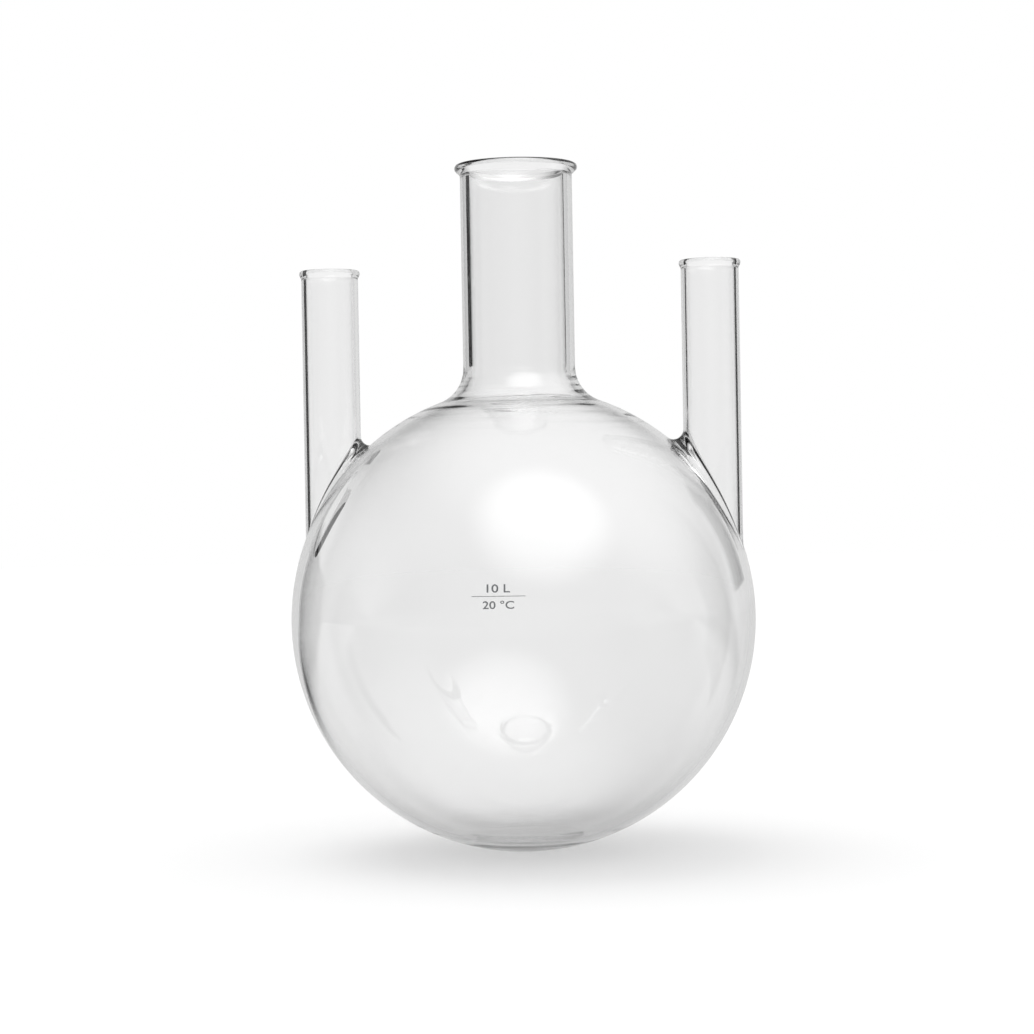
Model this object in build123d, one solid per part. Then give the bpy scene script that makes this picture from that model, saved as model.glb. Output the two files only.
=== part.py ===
from build123d import *
import os

# Three neck round-bottom flask, 10 litres, blown and flame-worked from borosilicate glass.
# One fused piece of glass: a bulb with a thicker bottom, a wide middle neck drawn out of its
# top, and two narrower side necks welded on, all three open into the bulb.
# Millimetres. The origin is the bulb's lowest point, +Z runs up the middle neck, and the
# side necks stand parallel to it in the XZ plane.

# Bulb
BULB_DIAMETER = 280.0
BULB_WALL = 3.8
BOTTOM_THICKNESS = 8.4  # the glass pools at the bottom, flat on the inside
POOL_EDGE_RADIUS = 8.0

# Middle neck
TOTAL_HEIGHT = 414.5
NECK_DIAMETER = 67.6
NECK_WALL = 5.5
SHOULDER_RADIUS = 22.0

# Side necks
SIDE_DIAMETER = 34.6
SIDE_WALL = 2.9
SIDE_RIM_DROP = 61.0  # from the middle neck's rim down to a side neck's rim
SIDE_INSET = 6.7  # from the bulb's widest outline in to a side neck's outer face
SIDE_WELD_RADIUS = 6.0

# Lip of the middle neck: turned outward, sloped underneath, fire-polished all round
LIP_PROJECTION = 3.2
LIP_EDGE = 3.4
LIP_SLOPE = 3.2
LIP_CROWN_RADIUS = 2.2
LIP_UNDER_RADIUS = 1.4
LIP_MOUTH_RADIUS = 5.6

# Bead of a side neck, made the same way
BEAD_PROJECTION = 1.1
BEAD_EDGE = 2.6
BEAD_SLOPE = 2.4
BEAD_CROWN_RADIUS = 1.8
BEAD_UNDER_RADIUS = 1.2
BEAD_MOUTH_RADIUS = 2.0

HAIR = 0.01  # how near a rim's height its edges lie, and the least flat left on a rim

# What follows from them
bulb_radius = BULB_DIAMETER / 2
cavity_radius = bulb_radius - BULB_WALL
neck_radius = NECK_DIAMETER / 2
neck_bore = neck_radius - NECK_WALL
side_radius = SIDE_DIAMETER / 2
side_bore = side_radius - SIDE_WALL
side_offset = bulb_radius - SIDE_INSET - side_radius
side_rim = TOTAL_HEIGHT - SIDE_RIM_DROP
side_places = [Pos(-side_offset, 0), Pos(side_offset, 0)]


def half_bar(radius, foot, top):
    """Half section of a round bar about the axis."""
    return Pos(radius / 2, (foot + top) / 2) * Rectangle(radius, top - foot)


def half_ball(radius):
    """Half section of a ball about the bulb's centre."""
    return Pos(0, bulb_radius) * Circle(radius) & half_bar(radius, 0, BULB_DIAMETER)


def rounded(section, radius, *points):
    """The section with the corners at these points rounded."""
    corners = [section.vertices().sort_by_distance((r, z))[0] for r, z in points]
    return fillet(corners, radius)


def with_lip(section, radius, rim, projection, edge, slope, crown_radius, under_radius):
    """The half section of a neck with its top end turned outward into a lip."""
    lip_radius = radius + projection
    lip_foot = rim - edge - slope
    section += Polygon(
        (0, lip_foot), (radius, lip_foot), (lip_radius, rim - edge), (lip_radius, rim), (0, rim),
        align=None,
    )
    section = rounded(section, under_radius, (radius, lip_foot), (lip_radius, rim - edge))
    return rounded(section, crown_radius, (lip_radius, rim))


def turned(section):
    """The solid that a half section makes about the Z axis."""
    return revolve(Plane.XZ * section, axis=Axis.Z)


def junction_height(ball_radius, tube_radius):
    """How high a tube about the axis meets a ball about the bulb's centre."""
    return bulb_radius + (ball_radius**2 - tube_radius**2) ** 0.5


def weld_edges(solid):
    """The curved edges where the side necks leave the bulb."""
    return [e for e in solid.edges() if e.geom_type not in (GeomType.CIRCLE, GeomType.LINE)]


def outer_form():
    """The flask's outside as a solid: bulb, middle neck with its lip, side necks with their beads."""
    section = half_ball(bulb_radius) + half_bar(neck_radius, bulb_radius, TOTAL_HEIGHT)
    section = rounded(section, SHOULDER_RADIUS, (neck_radius, junction_height(bulb_radius, neck_radius)))
    section = with_lip(
        section, neck_radius, TOTAL_HEIGHT, LIP_PROJECTION, LIP_EDGE, LIP_SLOPE,
        LIP_CROWN_RADIUS, LIP_UNDER_RADIUS,
    )
    side = with_lip(
        half_bar(side_radius, bulb_radius, side_rim), side_radius, side_rim, BEAD_PROJECTION,
        BEAD_EDGE, BEAD_SLOPE, BEAD_CROWN_RADIUS, BEAD_UNDER_RADIUS,
    )
    form = turned(section)
    for place in side_places:
        form += place * turned(side)
    return fillet(weld_edges(form), SIDE_WELD_RADIUS)


def inner_form():
    """The space inside as a solid: its roundings are the outer ones grown by the wall they turn."""
    pool = half_bar(cavity_radius, BOTTOM_THICKNESS, TOTAL_HEIGHT)
    section = (half_ball(cavity_radius) & pool) + half_bar(neck_bore, bulb_radius, TOTAL_HEIGHT)
    pool_depth = bulb_radius - BOTTOM_THICKNESS
    pool_radius = (cavity_radius**2 - pool_depth**2) ** 0.5
    section = rounded(section, POOL_EDGE_RADIUS, (pool_radius, BOTTOM_THICKNESS))
    shoulder = (neck_bore, junction_height(cavity_radius, neck_bore))
    section = rounded(section, SHOULDER_RADIUS + NECK_WALL, shoulder)
    form = turned(section)
    for place in side_places:
        form += place * turned(half_bar(side_bore, bulb_radius, side_rim))
    return fillet(weld_edges(form), SIDE_WELD_RADIUS + SIDE_WALL)


def mouth_rounding(radius, wall, projection, crown_radius):
    """The rounding of a mouth, held within the flat that the crown's rounding leaves on the rim."""
    return min(radius, wall + projection - crown_radius - HAIR)


def mouth_edges(solid, rim):
    """The circles where the bores open at this height."""
    circles = solid.edges().filter_by(GeomType.CIRCLE)
    return circles.filter_by_position(Axis.Z, rim - HAIR, rim + HAIR).group_by(SortBy.RADIUS)[0]


os.makedirs("parts", exist_ok=True)
flask = outer_form() - inner_form()
lip_rounding = mouth_rounding(LIP_MOUTH_RADIUS, NECK_WALL, LIP_PROJECTION, LIP_CROWN_RADIUS)
bead_rounding = mouth_rounding(BEAD_MOUTH_RADIUS, SIDE_WALL, BEAD_PROJECTION, BEAD_CROWN_RADIUS)
flask = fillet(mouth_edges(flask, TOTAL_HEIGHT), lip_rounding)
flask = fillet(mouth_edges(flask, side_rim), bead_rounding)
flask.label = "flask"
export_step(flask, "parts/flask.step")
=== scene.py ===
import math

import bmesh
import bpy
import numpy as np
from mathutils import Matrix, Vector


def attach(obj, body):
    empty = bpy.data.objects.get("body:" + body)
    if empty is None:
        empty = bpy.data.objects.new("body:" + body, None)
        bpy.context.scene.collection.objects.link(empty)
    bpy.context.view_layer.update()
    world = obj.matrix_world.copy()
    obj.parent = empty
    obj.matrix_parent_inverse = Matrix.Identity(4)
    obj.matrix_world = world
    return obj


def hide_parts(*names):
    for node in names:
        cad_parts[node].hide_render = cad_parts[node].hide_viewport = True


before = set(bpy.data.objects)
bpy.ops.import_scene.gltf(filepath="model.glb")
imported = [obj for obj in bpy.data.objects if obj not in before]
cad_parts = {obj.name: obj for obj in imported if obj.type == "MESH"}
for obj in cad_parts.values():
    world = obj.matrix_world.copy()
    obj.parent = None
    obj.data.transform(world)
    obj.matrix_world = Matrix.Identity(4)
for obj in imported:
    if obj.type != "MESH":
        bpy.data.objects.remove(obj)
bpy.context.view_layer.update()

bpy.ops.object.select_all(action="DESELECT")
scene = bpy.context.scene
scene.view_settings.view_transform = "Standard"


# ------------------------------------------------------------------ camera
# A level view from about a metre and a half, a little round to the right, so that
# the right neck stands nearer. The mouths are seen from a few degrees below their rims.
# Here and in the flask's sections sizes are millimetres, which MM turns to metres.
MM = 0.001
CAMERA_PLACE = (220.45, -1530.94, 220.74)
CAMERA_TURN = (89.287, 1.021, 8.289)
LENS = 89.05
SENSOR = 36.0

camera_data = bpy.data.cameras.new("camera")
camera_data.sensor_width = SENSOR
camera_data.lens = LENS
camera = bpy.data.objects.new("camera", camera_data)
scene.collection.objects.link(camera)
camera.location = Vector(CAMERA_PLACE) * MM
camera.rotation_euler = [math.radians(angle) for angle in CAMERA_TURN]
scene.camera = camera


# ------------------------------------------------------------------ bulb and middle neck
# A blown bulb of borosilicate glass, with a thicker pool of glass at its bottom and a
# wide neck drawn out of its top, whose mouth is turned out into a fire-polished lip.
# Inside and outside are one skin, so the wall has its real thickness everywhere.
BULB = 139.93  # a shade under 140, so that its fine skin stays in the coarser CAD mesh's box
BULB_WALL = 3.8
BOTTOM = 8.4
POOL_EDGE = 8.0
HEIGHT = 414.5
NECK = 33.8
NECK_WALL = 5.5
SHOULDER = 22.0
LIP = {
    "out": 3.2,  # how far it stands out from the neck
    "edge": 3.4,  # height of its upright edge, with both roundings
    "slope": 3.2,  # height of its sloping underside
    "crown": 2.2,  # rounding of its outer top edge
    "under": 1.4,  # fillets at both ends of the underside
    "mouth": 5.6,  # depth of the flare inside the mouth
    "flare_lean": 30,  # of the flare from upright, in degrees
    "inner": 2.0,  # rounding of the inner top edge
    "bend": 1.5,  # rounding from the flare into the bore
}
TURNS = 192
BULB_STEPS = 76
CAVITY_STEPS = 74
SHOULDER_STEPS = 12
POOL_STEPS = 3
FILLET_STEPS = 5
CROWN_STEPS = 9
RIM_STEPS = 8
BEND_STEPS = 6
LONGEST_STEP = 6.0
SHORTEST_STEP = 0.02
BORE = NECK - NECK_WALL
CAVITY = BULB - BULB_WALL


def arc(centre, radius, start, end, steps):
    """Points of an arc of the half section, with the way each faces out of its centre."""
    out = []
    for i in range(steps + 1):
        a = math.radians(start + (end - start) * i / steps)
        way = (math.cos(a), math.sin(a))
        out.append((centre[0] + radius * way[0], centre[1] + radius * way[1], *way))
    return out


def turned_in(points):
    """The same points facing the other way, as on a hollow."""
    return [(r, z, -nr, -nz) for r, z, nr, nz in points]


def angle_of(r, z):
    """Angle of a way above the level, in degrees."""
    return math.degrees(math.atan2(z, r))


def lip(radius, bore, rim, out, edge, slope, crown, under, mouth, flare_lean, inner, bend):
    """Half section of a turned-out mouth, from the neck's outside over the rim to its bore."""
    lean = math.degrees(math.atan2(out, slope))  # of the underside from upright
    # under fillet at the foot: hollow corner between the neck and the sloped underside
    t = math.tan(math.radians(lean / 2)) * under
    foot = rim - edge - slope
    points = turned_in(arc((radius + under, foot - t), under, 180, 180 - lean, FILLET_STEPS))
    # corner between the underside and the upright edge
    points += arc((radius + out - under, rim - edge + t), under, -lean, 0, FILLET_STEPS)
    points += arc((radius + out - crown, rim - crown), crown, 0, 90, CROWN_STEPS)
    # inside, the rounded rim runs down a short straight flare to a soft bend in the bore
    flare = math.radians(flare_lean)
    rolled = bore + (inner + math.sin(flare) * (mouth - inner)) / math.cos(flare)
    points += arc((rolled, rim - inner), inner, 90, 180 - flare_lean, RIM_STEPS)
    if bend:
        centre = (bore + bend, rim - mouth - math.tan(flare / 2) * bend)
        points += arc(centre, bend, 180 - flare_lean, 180, BEND_STEPS)
    return points


def stepped(points):
    """The points with more put in where the next is further off than the longest step."""
    out = [points[0]]
    for p in points[1:]:
        q = out[-1]
        n = int(math.dist(p[:2], q[:2]) // LONGEST_STEP)
        for i in range(1, n + 1):
            part = i / (n + 1)
            r, z, nr, nz = (q[k] + (p[k] - q[k]) * part for k in range(4))
            size = math.hypot(nr, nz)
            out.append((r, z, nr / size, nz / size))
        out.append(p)
    return out


# outside: bulb from the bottom up, shoulder, neck, lip
shoulder_r = NECK + SHOULDER
rise = math.sqrt((BULB + SHOULDER) ** 2 - shoulder_r**2)
top_angle = angle_of(shoulder_r, rise)
section = arc((0, BULB), BULB, -90, top_angle, BULB_STEPS)
shoulder = arc((shoulder_r, BULB + rise), SHOULDER, 180 + top_angle, 180, SHOULDER_STEPS)
section += turned_in(shoulder)
section += lip(NECK, BORE, HEIGHT, **LIP)
# inside: bore, shoulder, bulb, pool
inner_shoulder = SHOULDER + NECK_WALL
inner_r = BORE + inner_shoulder
inner_rise = math.sqrt((CAVITY + inner_shoulder) ** 2 - inner_r**2)
inner_angle = angle_of(inner_r, inner_rise)
hollow = (inner_r, BULB + inner_rise)
section += arc(hollow, inner_shoulder, 180, 180 + inner_angle, SHOULDER_STEPS)
pool_drop = BULB - BOTTOM - POOL_EDGE
pool_r = math.sqrt((CAVITY - POOL_EDGE) ** 2 - pool_drop**2)
pool_angle = -angle_of(pool_r, pool_drop)
section += turned_in(arc((0, BULB), CAVITY, inner_angle, pool_angle, CAVITY_STEPS))
section += turned_in(arc((pool_r, BULB - pool_drop), POOL_EDGE, pool_angle, -90, POOL_STEPS))
section += [(0.0, BOTTOM, 0.0, 1.0)]
section = stepped(section)
outline = [section[0]]
for p in section[1:]:
    if math.dist(p[:2], outline[-1][:2]) > SHORTEST_STEP:
        outline.append(p)

half = bpy.data.meshes.new("flask_glass")
half.from_pydata(
    [(r * MM, 0, z * MM) for r, z, _, _ in outline],
    [(i, i + 1) for i in range(len(outline) - 1)], [],
)
flask = bpy.data.objects.new("flask_glass", half)
scene.collection.objects.link(flask)
bpy.context.view_layer.objects.active = flask
flask.select_set(True)
bpy.ops.object.mode_set(mode="EDIT")
bpy.ops.mesh.select_all(action="SELECT")
bpy.ops.mesh.spin(steps=TURNS, angle=2 * math.pi, center=(0, 0, 0), axis=(0, 0, 1))
bpy.ops.mesh.select_all(action="SELECT")
bpy.ops.mesh.remove_doubles(threshold=0.01 * MM)
bpy.ops.mesh.normals_make_consistent(inside=False)
bpy.ops.object.mode_set(mode="OBJECT")
bpy.ops.object.select_all(action="DESELECT")

exact = np.array(outline)
BATCH = 4000


def spun_facing(co):
    """The exact way the turned skin faces at each of these points, in millimetres."""
    r = np.hypot(co[:, 0], co[:, 1])
    out = np.zeros_like(co)
    for start in range(0, len(co), BATCH):
        part = slice(start, start + BATCH)
        gap = np.hypot(r[part, None] - exact[None, :, 0], co[part, None, 2] - exact[None, :, 1])
        near = exact[gap.argmin(1)]
        round_r = np.maximum(r[part], 1e-9)
        out[part, 0] = near[:, 2] * co[part, 0] / round_r
        out[part, 1] = near[:, 2] * co[part, 1] / round_r
        out[part, 2] = near[:, 3]
    return out


def keep_facing(mesh, facing):
    """Stores the exact facing of each corner point on the mesh until the pieces are joined."""
    store = mesh.attributes.new("facing", "FLOAT_VECTOR", "POINT")
    store.data.foreach_set("vector", facing.astype(np.float32).ravel())


def points_of(mesh):
    """All the mesh's points, one to a row."""
    co = np.zeros(len(mesh.vertices) * 3)
    mesh.vertices.foreach_get("co", co)
    return co.reshape(-1, 3)


keep_facing(flask.data, spun_facing(points_of(flask.data) / MM))


# ------------------------------------------------------------------ side necks
# Two lengths of narrower tube welded onto the bulb's shoulders, upright beside the middle
# neck. The torch melts tube and bulb together in a soft web, and rolls each mouth into a bead.
SIDE = 17.3
SIDE_WALL = 2.9
SIDE_PLACE = 116.0
SIDE_RIM = 353.5
WELD = 6.0
INNER_WELD = 4.0
BEAD = {
    "out": 1.1, "edge": 2.6, "slope": 2.4, "crown": 1.8, "under": 1.2,
    "mouth": 2.0, "flare_lean": 0, "inner": 2.0, "bend": 0,
}
SIDE_TURNS = 128
WELD_STEPS = 10
START_LEVEL = 250  # of the first circle, before it is laid as a ring
LEVELS = range(262, 343, 5)  # of the rings along the straight tube
SIDE_BORE = SIDE - SIDE_WALL
BULB_MIDDLE = Vector((0, 0, BULB))


def weld_ring(ball, tube, radius, part):
    """Ring of the web between ball and tube: at part 0 it lies on the ball, at 1 on the tube."""
    places, ways = [], []
    for i in range(SIDE_TURNS):
        turn = 2 * math.pi * i / SIDE_TURNS
        round_way = Vector((math.cos(turn), math.sin(turn), 0))
        centre = round_way * (tube + radius)
        centre.x += SIDE_PLACE
        centre.z = math.sqrt((ball + radius) ** 2 - centre.x**2 - centre.y**2)
        to_ball = -centre.normalized()
        to_tube = -round_way
        way = to_ball.slerp(to_tube, part)
        places.append(centre + way * radius + BULB_MIDDLE)
        ways.append(-way)
    return places, ways


def flat_ring(r, z, nr, nz):
    """Level ring of the tube, with the way that it faces."""
    places, ways = [], []
    for i in range(SIDE_TURNS):
        turn = 2 * math.pi * i / SIDE_TURNS
        c, s = math.cos(turn), math.sin(turn)
        places.append(Vector((SIDE_PLACE + r * c, r * s, z)))
        ways.append(Vector((nr * c, nr * s, nz)))
    return places, ways


# up the outside, over the bead and down the bore
rings = [weld_ring(BULB, SIDE, WELD, i / WELD_STEPS) for i in range(WELD_STEPS + 1)]
rings += [flat_ring(SIDE, level, 1, 0) for level in LEVELS]
rings += [flat_ring(*p) for p in lip(SIDE, SIDE_BORE, SIDE_RIM, **BEAD)]
rings += [flat_ring(SIDE_BORE, level, -1, 0) for level in reversed(LEVELS)]
# inside, the web's curve has its centre in the glass, so it faces the opposite way
for step in range(WELD_STEPS + 1):
    places, ways = weld_ring(CAVITY, SIDE_BORE, INNER_WELD, 1 - step / WELD_STEPS)
    rings.append((places, [-way for way in ways]))

bpy.ops.mesh.primitive_circle_add(
    vertices=SIDE_TURNS, radius=SIDE * MM, location=(SIDE_PLACE * MM, 0, START_LEVEL * MM)
)
side = bpy.context.object
side.name = "side_neck"
bpy.ops.object.transform_apply(location=True)
bpy.ops.object.mode_set(mode="EDIT")
bpy.ops.mesh.select_all(action="SELECT")


def lay_ring(last, places):
    """Moves the selected ring of points from the last ring's places to these."""
    bm = bmesh.from_edit_mesh(side.data)
    before = np.array([tuple(p) for p in last])
    for v in bm.verts:
        if v.select:
            v.co = places[((before - np.array(v.co) / MM) ** 2).sum(1).argmin()] * MM
    bmesh.update_edit_mesh(side.data)


last = flat_ring(SIDE, START_LEVEL, 1, 0)[0]
for i, (places, _) in enumerate(rings):
    if i:
        bpy.ops.mesh.extrude_region()
    lay_ring(last, places)
    last = places
bpy.ops.mesh.select_all(action="SELECT")
bpy.ops.mesh.normals_make_consistent(inside=False)
bpy.ops.object.mode_set(mode="OBJECT")
ring_places = np.array([tuple(p) for places, _ in rings for p in places])
ring_ways = np.array([tuple(w) for _, ways in rings for w in ways])
side_points = points_of(side.data) / MM
facing = np.zeros_like(side_points)
for i, p in enumerate(side_points):
    facing[i] = ring_ways[((ring_places - p) ** 2).sum(1).argmin()]
keep_facing(side.data, facing)

# the second neck is the first turned half round
other = side.copy()
other.data = side.data.copy()
other.name = "other_side_neck"
scene.collection.objects.link(other)
other.data.transform(Matrix.Rotation(math.pi, 4, "Z"))
store = other.data.attributes["facing"]
turned_way = facing * (-1, -1, 1)
store.data.foreach_set("vector", turned_way.astype(np.float32).ravel())

# openings are cut in both skins of the bulb under each neck, a little wider than the web
HOLE_MARGIN = 2.4
ON_SKIN = 0.1
bm = bmesh.new()
bm.from_mesh(flask.data)
doomed = []
for ball, tube, web in ((BULB, SIDE, WELD), (CAVITY, SIDE_BORE, INNER_WELD)):
    shrink = ball / (ball + web)
    hole_place = SIDE_PLACE * shrink
    hole_r = (tube + web) * shrink + HOLE_MARGIN
    for face in bm.faces:
        if face.calc_center_median().z < BULB * MM:
            continue
        on_ball = all(
            abs((v.co / MM - BULB_MIDDLE).length - ball) < ON_SKIN for v in face.verts
        )
        if on_ball and any(
            math.hypot(abs(v.co.x) / MM - hole_place, v.co.y / MM) < hole_r for v in face.verts
        ):
            doomed.append(face)
bmesh.ops.delete(bm, geom=doomed, context="FACES")
bm.to_mesh(flask.data)
bm.free()

bpy.ops.object.select_all(action="DESELECT")
for piece in (flask, side, other):
    piece.select_set(True)
bpy.context.view_layer.objects.active = flask
bpy.ops.object.join()

# each opening is filled between the bulb's cut edge and the web's, and the middle of such an
# edge lies a little off the ball
EDGE_ON_SKIN = 0.2
for left in (True, False):
    for ball in (BULB, CAVITY):
        bpy.ops.object.mode_set(mode="EDIT")
        bpy.ops.mesh.select_all(action="DESELECT")
        bm = bmesh.from_edit_mesh(flask.data)
        bm.select_mode = {"EDGE"}
        for edge in bm.edges:
            if not edge.is_boundary:
                continue
            middle = (edge.verts[0].co + edge.verts[1].co) / 2 / MM
            depth = (middle - BULB_MIDDLE).length
            if (middle.x < 0) == left and abs(depth - ball) < EDGE_ON_SKIN:
                edge.select_set(True)
        bmesh.update_edit_mesh(flask.data)
        bpy.ops.mesh.fill(use_beauty=True)
        bpy.ops.object.mode_set(mode="OBJECT")
bpy.ops.object.shade_smooth()

# the exact facings turn the faces outwards and become the skin's normals
ways = np.zeros(len(flask.data.vertices) * 3, np.float32)
flask.data.attributes["facing"].data.foreach_get("vector", ways)
ways = ways.reshape(-1, 3)
flask.data.attributes.remove(flask.data.attributes["facing"])
bm = bmesh.new()
bm.from_mesh(flask.data)
bm.verts.ensure_lookup_table()
for face in bm.faces:
    way = Vector(ways[[v.index for v in face.verts]].sum(0))
    if face.normal.dot(way) < 0:
        face.normal_flip()
bm.to_mesh(flask.data)
bm.free()
flask.data.normals_split_custom_set_from_vertices(ways.tolist())


# ------------------------------------------------------------------ the glass
# Borosilicate 3.3 glass, blown and flame-polished: clear, very smooth, faintly grey in the
# wall. It is even but for slow waves where it was drawn out at the foot of the middle neck,
# and where it pooled at the bottom.
IOR = 1.473
GREYNESS = 10.0  # for each metre of glass, which takes 4% of the light in a wall of 4 mm
WAVES = (14.0, 14.0, 150.0)  # in each metre, so a wave is about 71 mm wide and 7 mm high
WAVE_DEPTH = 0.9
# light runs a long way inside a thick rim before it comes out
BOUNCES = 96
scene.cycles.max_bounces = BOUNCES
scene.cycles.glossy_bounces = BOUNCES
scene.cycles.transmission_bounces = BOUNCES


def srgb(code):
    """An sRGB hex colour as linear numbers."""
    parts = [int(code[i:i + 2], 16) / 255 for i in (1, 3, 5)]
    return [*(c / 12.92 if c <= 0.04045 else ((c + 0.055) / 1.055) ** 2.4 for c in parts), 1.0]


def node(tree, kind, links=None, **settings):
    """Adds a node with its settings, then its links or values by input name or number."""
    made = tree.nodes.new(kind)
    for key, value in settings.items():
        setattr(made, key, value)
    for key, value in (links or {}).items():
        if isinstance(value, bpy.types.NodeSocket):
            tree.links.new(value, made.inputs[key])
        else:
            made.inputs[key].default_value = value
    return made


glass = bpy.data.materials.new("borosilicate_glass")
glass.use_nodes = True
tree = glass.node_tree
tree.nodes.clear()
spot = node(tree, "ShaderNodeTexCoord").outputs["Object"]
height = node(tree, "ShaderNodeSeparateXYZ", {0: spot}).outputs["Z"]
level_spot = node(
    tree, "ShaderNodeVectorMath", {0: spot, 1: (1.0, 1.0, 0.0)}, operation="MULTIPLY"
).outputs[0]
from_axis = node(
    tree, "ShaderNodeVectorMath", {0: level_spot}, operation="LENGTH"
).outputs["Value"]
# the waves begin where the shoulder is drawn out, end at the neck's foot and well short of
# the side necks, and come again in the pool
share = {}
for name, size, start, end, before, after in (
    ("drawn_out", height, 235, 285, 0.0, 1.0),
    ("below_neck", height, 283, 297, 1.0, 0.0),
    ("near_axis", from_axis, 70, 88, 1.0, 0.0),
    ("pooled", height, 4, 22, 1.0, 0.0),
):
    share[name] = node(
        tree, "ShaderNodeMapRange",
        {"Value": size, "From Min": start * MM, "From Max": end * MM,
         "To Min": before, "To Max": after},
        interpolation_type="SMOOTHSTEP",
    ).outputs[0]
foot = node(
    tree, "ShaderNodeMath", {0: share["drawn_out"], 1: share["below_neck"]}, operation="MULTIPLY"
).outputs[0]
amount = node(
    tree, "ShaderNodeMath", {0: foot, 1: share["near_axis"], 2: share["pooled"]},
    operation="MULTIPLY_ADD", use_clamp=True,
).outputs[0]
stretched = node(
    tree, "ShaderNodeVectorMath", {0: spot, 1: WAVES}, operation="MULTIPLY"
).outputs[0]
wave = node(
    tree, "ShaderNodeTexNoise", {"Vector": stretched, "Scale": 1.0, "Detail": 1.0}
).outputs["Fac"]
uneven = node(
    tree, "ShaderNodeBump", {"Height": wave, "Strength": amount, "Distance": WAVE_DEPTH * MM}
)
clear = node(
    tree, "ShaderNodeBsdfGlass",
    {"Color": srgb("#FEFEFE"), "Roughness": 0.0, "IOR": IOR, "Normal": uneven.outputs[0]},
)
grey = node(
    tree, "ShaderNodeVolumeAbsorption", {"Color": srgb("#000000"), "Density": GREYNESS}
)
node(
    tree, "ShaderNodeOutputMaterial", {"Surface": clear.outputs[0], "Volume": grey.outputs[0]}
)
flask.data.materials.clear()
flask.data.materials.append(glass)
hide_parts("flask")
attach(flask, "root")


# ------------------------------------------------------------------ printed marks
# Capacity and measuring temperature with a rule between them, screen-printed on the front
# of the bulb in grey ceramic ink and fired on, a few hundredths of a millimetre thick.
PRINT_TURN = 2.5  # round the bulb from its front, in degrees
PRINT_LIFT = 0.03  # of the middle of the ink from the glass
INK = 0.04  # its thickness
RULE_LEVEL = 159.7
RULE_LENGTH = 30.0
RULE_WIDTH = 0.34
RULE_PARTS = 24
LETTER_DEPTH = 0.1  # before the letters are squashed to the ink's thickness
LETTER_WEIGHT = 0.012  # thickens the strokes
LETTER_CURVE = 6  # steps in each curve of a letter
marks = []
for words, level, width, tall in (("10 L", 164.0, 13.0, 4.6), ("20 °C", 155.0, 17.5, 4.6)):
    bpy.ops.object.text_add(location=(0, 0, 0))
    letters = bpy.context.object.data
    letters.body = words
    letters.extrude = LETTER_DEPTH
    letters.offset = LETTER_WEIGHT
    letters.resolution_u = LETTER_CURVE
    bpy.ops.object.convert(target="MESH")
    mark = bpy.context.object
    co = points_of(mark.data)
    span = co.max(0) - co.min(0)
    co = (co - co.min(0)) / span - 0.5
    co = co * (width, tall, INK) + (0, level, 0)
    mark.data.vertices.foreach_set("co", co.ravel())
    marks.append(mark)
bpy.ops.mesh.primitive_cube_add(size=1, location=(0, 0, 0))
rule = bpy.context.object
bpy.ops.object.mode_set(mode="EDIT")
bpy.ops.mesh.select_all(action="SELECT")
bpy.ops.transform.resize(value=(RULE_LENGTH, RULE_WIDTH, INK))
for cut in range(1, RULE_PARTS):
    bpy.ops.mesh.select_all(action="SELECT")
    across = RULE_LENGTH * (cut / RULE_PARTS - 0.5)
    bpy.ops.mesh.bisect(plane_co=(across, 0, 0), plane_no=(1, 0, 0))
bpy.ops.object.mode_set(mode="OBJECT")
co = points_of(rule.data) + (0, RULE_LEVEL, 0)
rule.data.vertices.foreach_set("co", co.ravel())
bpy.ops.object.select_all(action="DESELECT")
for mark in (*marks, rule):
    mark.select_set(True)
bpy.context.view_layer.objects.active = rule
bpy.ops.object.join()
rule.name = "printed_marks"
# the flat print is laid on the bulb
for v in rule.data.vertices:
    skin = BULB + PRINT_LIFT + v.co.z
    around = math.sqrt(skin**2 - (v.co.y - BULB) ** 2)
    turn = math.radians(PRINT_TURN - 90) + v.co.x / around
    v.co = Vector((around * math.cos(turn), around * math.sin(turn), v.co.y)) * MM
bpy.ops.object.mode_set(mode="EDIT")
bpy.ops.mesh.select_all(action="SELECT")
bpy.ops.mesh.remove_doubles(threshold=0.001 * MM)
bpy.ops.mesh.normals_make_consistent(inside=False)
bpy.ops.object.mode_set(mode="OBJECT")

# Grey ceramic ink fired on: matt, with the grain that the printing screen leaves, drawn
# 0.6 mm wide, which is coarser than a screen's, so that it shows.
GRAINS = 1600.0  # in each metre
GRIT = 0.02
ink = bpy.data.materials.new("fired_ceramic_ink")
ink.use_nodes = True
tree = ink.node_tree
tree.nodes.clear()
spot = node(tree, "ShaderNodeTexCoord").outputs["Object"]
grain = node(
    tree, "ShaderNodeTexNoise", {"Vector": spot, "Scale": GRAINS, "Detail": 2.0}
).outputs["Fac"]
shade = node(
    tree, "ShaderNodeMix", {0: grain, 6: srgb("#5C5F61"), 7: srgb("#86888A")}, data_type="RGBA"
)
grit = node(tree, "ShaderNodeBump", {"Height": grain, "Strength": 0.3, "Distance": GRIT * MM})
coat = node(
    tree, "ShaderNodeBsdfPrincipled",
    {"Base Color": shade.outputs[2], "Roughness": 0.55, "Normal": grit.outputs[0]},
)
node(tree, "ShaderNodeOutputMaterial", {"Surface": coat.outputs[0]})
rule.data.materials.clear()
rule.data.materials.append(ink)
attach(rule, "root")


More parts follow.
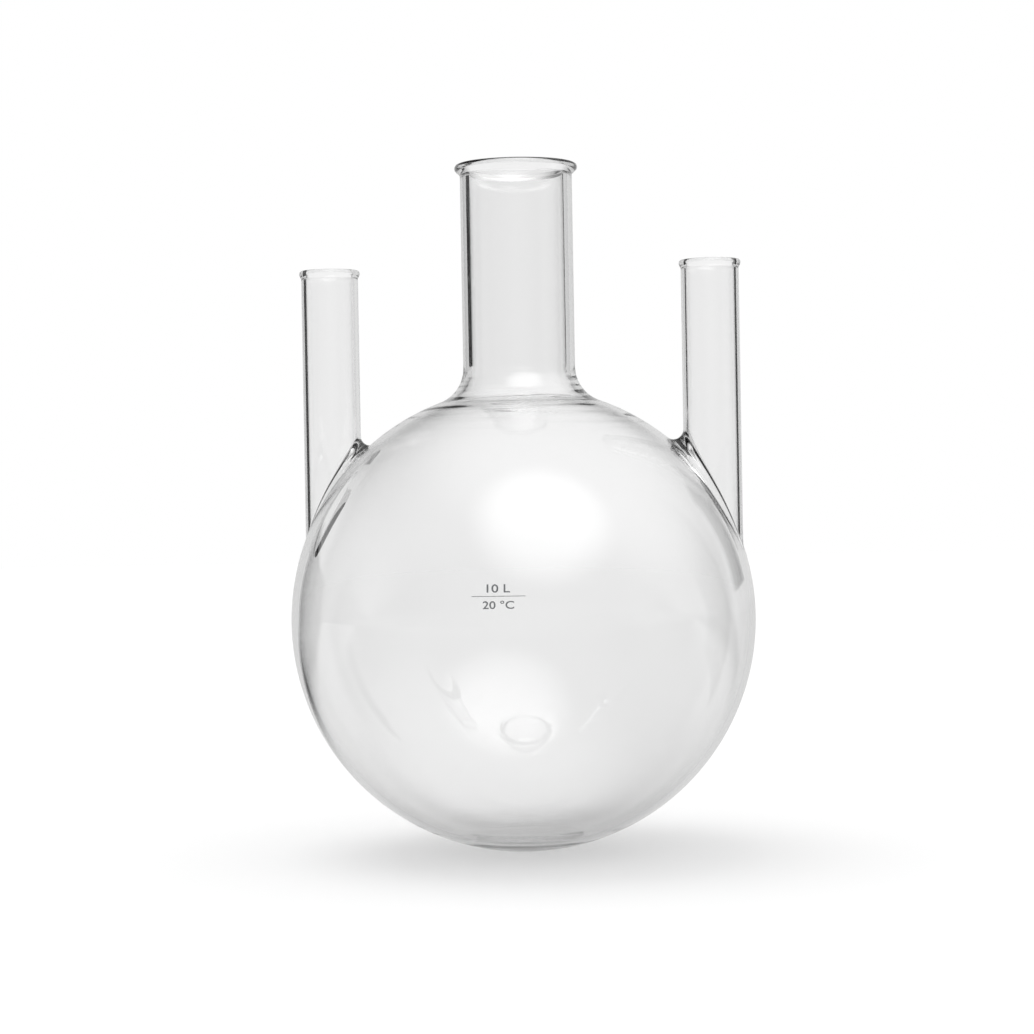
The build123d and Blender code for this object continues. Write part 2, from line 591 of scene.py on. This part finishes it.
# ------------------------------------------------------------------ floor and studio
# A pale matt floor in a plain white room, with one wide lamp. Lengths here are in metres.
# A ray that has been mirrored sees a grey room with soft panels, a table that goes on from
# it, and black flags, which give the glass its highlights and its thin dark edge lines.
STUDIO_TURN = 8.3  # degrees, which squares the studio to the camera
FLOOR_SIZE = 12
FLOOR_PAINT = (0.50, 0.50, 0.50, 1.0)  # sends back half of the light
GLOW_SEEN = 0.45  # brings the floor up to white for the camera
GLOW_THROUGH = 0.393  # brings it up to exactly white where it is seen through glass
bpy.ops.object.select_all(action="DESELECT")
bpy.ops.mesh.primitive_plane_add(size=FLOOR_SIZE, location=(0, 0, 0))
floor = bpy.context.object
floor.name = "floor"
floor.rotation_euler.z = math.radians(STUDIO_TURN)


def was_mirrored(tree):
    """1 in a ray that has been mirrored, and 0 in any other."""
    times = node(tree, "ShaderNodeLightPath").outputs["Glossy Depth"]
    return node(tree, "ShaderNodeMath", {0: times, 1: 0.5}, operation="GREATER_THAN").outputs[0]


matt = bpy.data.materials.new("matt_white_floor")
matt.use_nodes = True
tree = matt.node_tree
tree.nodes.clear()
# In a mirrored ray the table is bright behind the flask and dark to the sides. Each step is
# eased from one level to another by how far back it is, or by its slant, which is how far to
# the right it is for each metre back.
spot = node(tree, "ShaderNodeTexCoord").outputs["Object"]
place = node(tree, "ShaderNodeSeparateXYZ", {0: spot}).outputs
away = node(tree, "ShaderNodeMath", {0: place["Y"], 1: 0.05}, operation="MAXIMUM").outputs[0]
slant = node(tree, "ShaderNodeMath", {0: place["X"], 1: away}, operation="DIVIDE").outputs[0]
step = {}
for name, size, start, end, before, after in (
    ("front", place["Y"], -3.0, -0.4, 0.40, 0.18),
    ("left", slant, -0.76, -0.68, 0.9, 0.0),
    ("far_left", slant, -2.1, -1.9, 0.0, 1.0),
    ("right", slant, 1.19, 1.66, 0.0, 0.7),
    ("back", place["Y"], 0.12, 0.45, 0.0, 1.0),
):
    step[name] = node(
        tree, "ShaderNodeMapRange",
        {"Value": size, "From Min": start, "From Max": end, "To Min": before, "To Max": after},
        interpolation_type="SMOOTHSTEP",
    ).outputs[0]
bright = node(
    tree, "ShaderNodeMapRange",
    {"Value": place["Y"], "From Min": -0.2, "From Max": 0.1,
     "To Min": step["front"], "To Max": 0.76},
    interpolation_type="SMOOTHSTEP",
).outputs[0]
sides = node(
    tree, "ShaderNodeMath", {0: step["left"], 1: step["far_left"], 2: step["right"]},
    operation="MULTIPLY_ADD",
).outputs[0]
dark = node(
    tree, "ShaderNodeMath", {0: sides, 1: step["back"]}, operation="MULTIPLY"
).outputs[0]
kept = node(tree, "ShaderNodeMath", {0: 1.0, 1: dark}, operation="SUBTRACT").outputs[0]
level = node(tree, "ShaderNodeMath", {0: bright, 1: kept}, operation="MULTIPLY").outputs[0]
table = node(tree, "ShaderNodeEmission", {"Color": srgb("#FFFFFF"), "Strength": level})
# every other ray sees the paint, lifted to white for the camera and through the glass
ray = node(tree, "ShaderNodeLightPath").outputs
through = node(
    tree, "ShaderNodeMath", {0: ray["Is Transmission Ray"], 1: GLOW_THROUGH}, operation="MULTIPLY"
).outputs[0]
lift = node(
    tree, "ShaderNodeMath", {0: ray["Is Camera Ray"], 1: GLOW_SEEN, 2: through},
    operation="MULTIPLY_ADD",
).outputs[0]
glow = node(tree, "ShaderNodeEmission", {"Color": srgb("#FFFFFF"), "Strength": lift})
paint = node(tree, "ShaderNodeBsdfDiffuse", {"Color": FLOOR_PAINT})
both = node(tree, "ShaderNodeAddShader", {0: paint.outputs[0], 1: glow.outputs[0]})
shown = node(
    tree, "ShaderNodeMixShader", {0: was_mirrored(tree), 1: both.outputs[0], 2: table.outputs[0]}
)
node(tree, "ShaderNodeOutputMaterial", {"Surface": shown.outputs[0]})
floor.data.materials.append(matt)

# The room. Each panel has the way to its middle, the angles from there to which it is even
# and at which it is gone, and its strength. Those behind the flask end below the ceiling.
ROOM = 0.16
BACK_TOP = (0.30, 0.55)
PANELS = (
    ("behind", (-0.144, 0.99, 0.1), 50, 59, 0.59),
    ("behind", (0.28, 0.96, 0.05), 8, 32, 0.05),
    ("above", (0.3, 0.1, 0.95), 20, 62, 1.0),
    ("front", (0.244, -0.60, 0.76), 8, 36, 2.2),
    ("front", (0.244, -0.60, 0.76), 10, 78, 0.45),
    ("left", (-0.97, 0.0, 0.0), 20, 42, 0.25),
    ("right", (0.97, 0.0, 0.0), 20, 42, 0.25),
)
world = bpy.data.worlds.new("studio")
scene.world = world
world.use_nodes = True
tree = world.node_tree
tree.nodes.clear()
way = node(tree, "ShaderNodeTexCoord").outputs["Generated"]
rising = node(tree, "ShaderNodeSeparateXYZ", {0: way}).outputs["Z"]
below_top = node(
    tree, "ShaderNodeMapRange",
    {"Value": rising, "From Min": BACK_TOP[0], "From Max": BACK_TOP[1],
     "To Min": 1.0, "To Max": 0.0},
    interpolation_type="SMOOTHSTEP",
).outputs[0]
reflected = ROOM
for side_of_room, middle, even, edge, strength in PANELS:
    along = node(
        tree, "ShaderNodeVectorMath", {0: way, 1: Vector(middle).normalized()},
        operation="DOT_PRODUCT",
    ).outputs["Value"]
    shine = node(
        tree, "ShaderNodeMapRange",
        {"Value": along, "From Min": math.cos(math.radians(edge)),
         "From Max": math.cos(math.radians(even)), "To Min": 0.0, "To Max": strength},
        interpolation_type="SMOOTHSTEP",
    ).outputs[0]
    if side_of_room == "behind":
        shine = node(
            tree, "ShaderNodeMath", {0: shine, 1: below_top}, operation="MULTIPLY"
        ).outputs[0]
    reflected = node(
        tree, "ShaderNodeMath", {0: reflected, 1: shine}, operation="ADD"
    ).outputs[0]
level = node(
    tree, "ShaderNodeMix", {"Factor": was_mirrored(tree), "A": 1.0, "B": reflected},
    data_type="FLOAT",
)
light = node(
    tree, "ShaderNodeBackground", {"Color": srgb("#FFFFFF"), "Strength": level.outputs[0]}
)
node(tree, "ShaderNodeOutputWorld", {"Surface": light.outputs[0]})

# Upright flags of black felt behind the flask, which only mirrored rays see: where each
# starts and ends from left to right, how far back it is, and its bottom and top.
FLAGS = {
    "left_flag": (-4.0, -1.48, 2.0, 0.0, 0.80),
    "right_flag": (0.335, 0.50, 0.25, 0.18, 0.46),
}
squared = Matrix.Rotation(math.radians(STUDIO_TURN), 3, "Z")
for name, (left, right, away, bottom, top) in FLAGS.items():
    bpy.ops.mesh.primitive_plane_add(size=1, location=(0, 0, 0))
    flag = bpy.context.object
    flag.name = name
    for v in flag.data.vertices:
        across = left if v.co.x < 0 else right
        v.co = squared @ Vector((across, away, bottom if v.co.y < 0 else top))
    flag.visible_camera = False
    flag.visible_diffuse = False
    flag.visible_shadow = False
    felt = bpy.data.materials.new("black_felt_" + name)
    felt.use_nodes = True
    tree = felt.node_tree
    tree.nodes.clear()
    black = node(tree, "ShaderNodeEmission", {"Color": srgb("#000000"), "Strength": 0.0})
    unseen = node(tree, "ShaderNodeBsdfTransparent")
    shown = node(
        tree, "ShaderNodeMixShader",
        {0: was_mirrored(tree), 1: unseen.outputs[0], 2: black.outputs[0]},
    )
    node(tree, "ShaderNodeOutputMaterial", {"Surface": shown.outputs[0]})
    flag.data.materials.append(felt)

# a wide lamp, high up and a little to the back left, which gives the flask its soft shadow
LAMP_POWER = 0.7
LAMP_SPREAD = 40
LAMP_WAY = (-0.25, 0.15, 1.0)
lamp_data = bpy.data.lights.new("window", "SUN")
lamp_data.energy = LAMP_POWER
lamp_data.angle = math.radians(LAMP_SPREAD)
lamp = bpy.data.objects.new("window", lamp_data)
lamp.visible_glossy = False
lamp.visible_transmission = False
scene.collection.objects.link(lamp)
lamp.rotation_euler = Vector(LAMP_WAY).to_track_quat("Z", "Y").to_euler()
